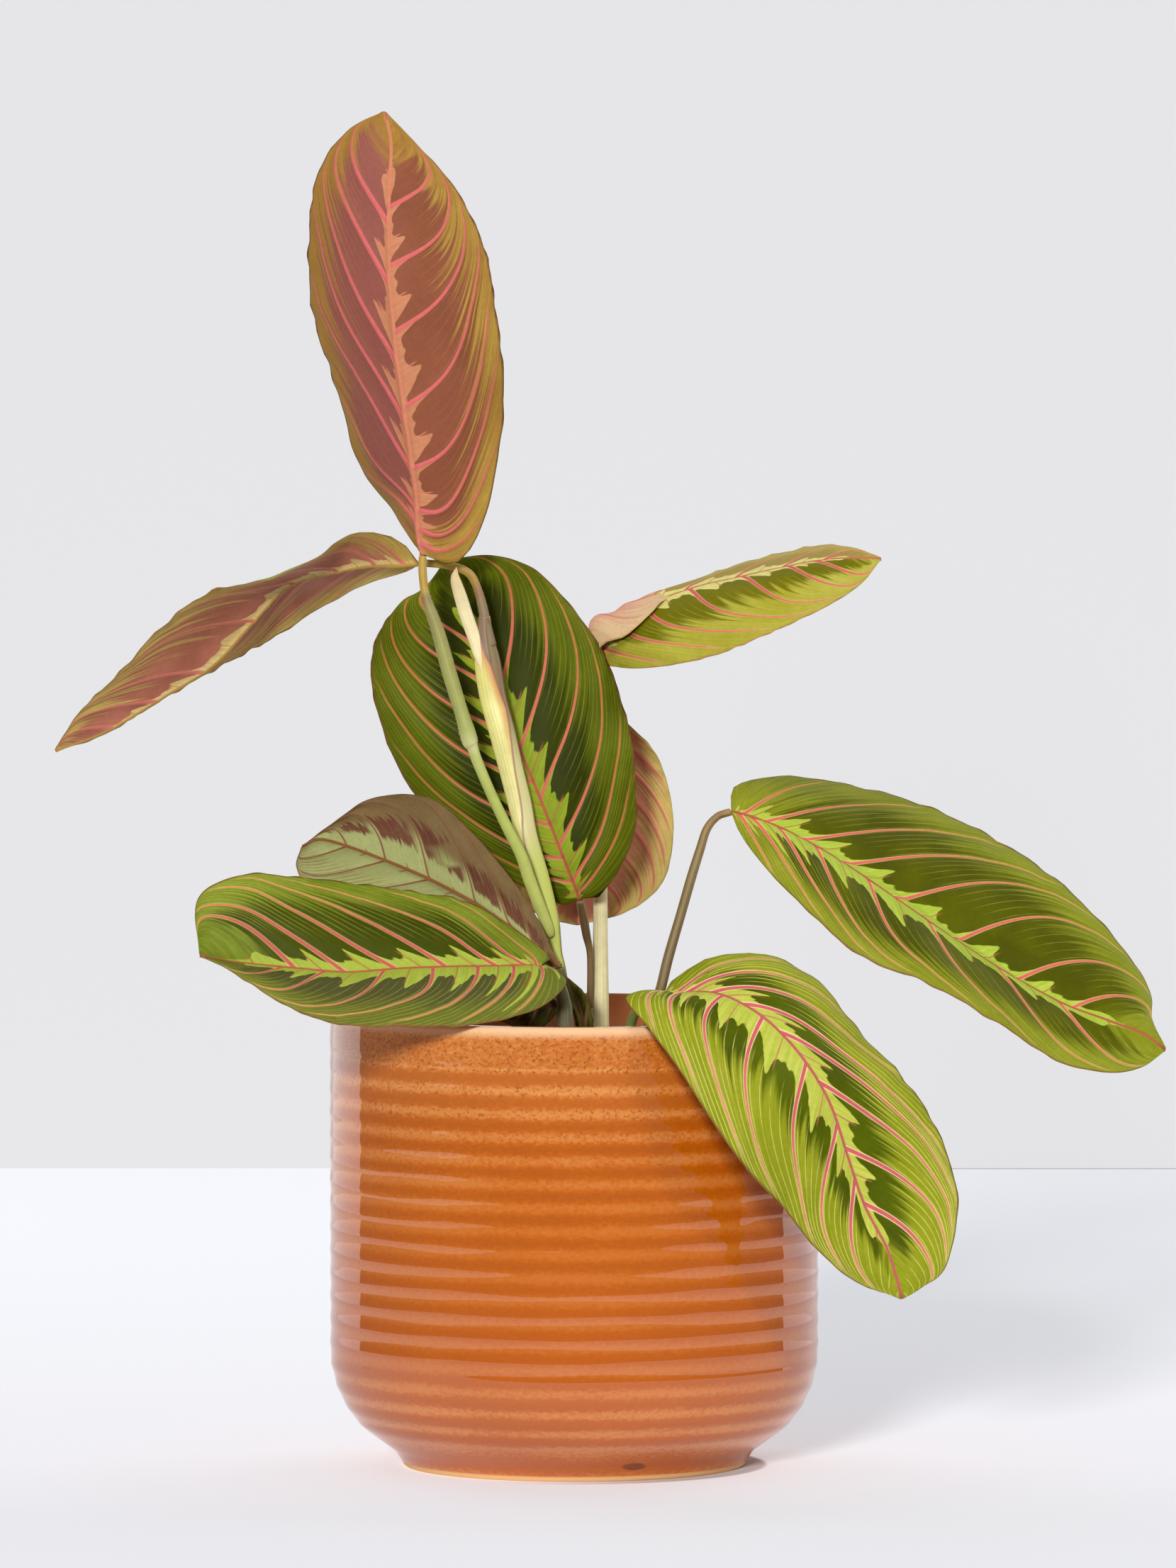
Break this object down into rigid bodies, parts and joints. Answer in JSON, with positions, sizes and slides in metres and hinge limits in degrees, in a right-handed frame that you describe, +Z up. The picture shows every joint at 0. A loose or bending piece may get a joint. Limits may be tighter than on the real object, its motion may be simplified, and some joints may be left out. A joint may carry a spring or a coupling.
{
  "type": "potted prayer plant",
  "caption": "Prayer plant with patterned oval leaves on thin petioles, growing in a round ribbed pot with an amber glaze and a bare foot.",
  "frame": {"origin": "centre of the flat underside of the pot's foot", "axes": "+Z up along the pot's axis, +Y away from the viewer of the front, +X to the viewer's right"},
  "size_m": [0.3171, 0.1502, 0.3873],
  "materials": {
    "glaze": "glossy amber glaze, darker in the grooves, speckled on the crests, bare cream clay at the foot",
    "soil": "dull dark potting soil, crumbly",
    "sheath": "smooth pale sheath with fine lengthwise lines",
    "young_leaf": "pale rolled young leaf, satin",
    "petiole": "satin green to olive brown stalk with fine hairs and streaks",
    "leaf": "satin green leaf with dark blotches and pink veins above, purplish below",
    "old_leaf": "dull olive old leaf"
  },
  "bodies": {
    "root": {"pot": "glaze", "soil": "soil", "shoot_sheath": "sheath", "stem_thick": "sheath", "rolled_leaf": "young_leaf", "petiole_top": "petiole", "petiole_high_left": "petiole", "petiole_centre": "petiole", "petiole_high_right": "petiole", "petiole_back": "petiole", "petiole_right": "petiole", "petiole_low_right": "petiole", "petiole_mid_left": "petiole", "petiole_low_left": "petiole", "leaf_top": "leaf", "leaf_high_left": "leaf", "leaf_centre": "leaf", "leaf_high_right": "leaf", "leaf_back": "leaf", "leaf_mid_left": "leaf", "leaf_low_left": "leaf", "leaf_right": "leaf", "leaf_low_right": "leaf", "leaf_old": "old_leaf", "leaf_inside": "old_leaf"}
  },
  "joints": []
}
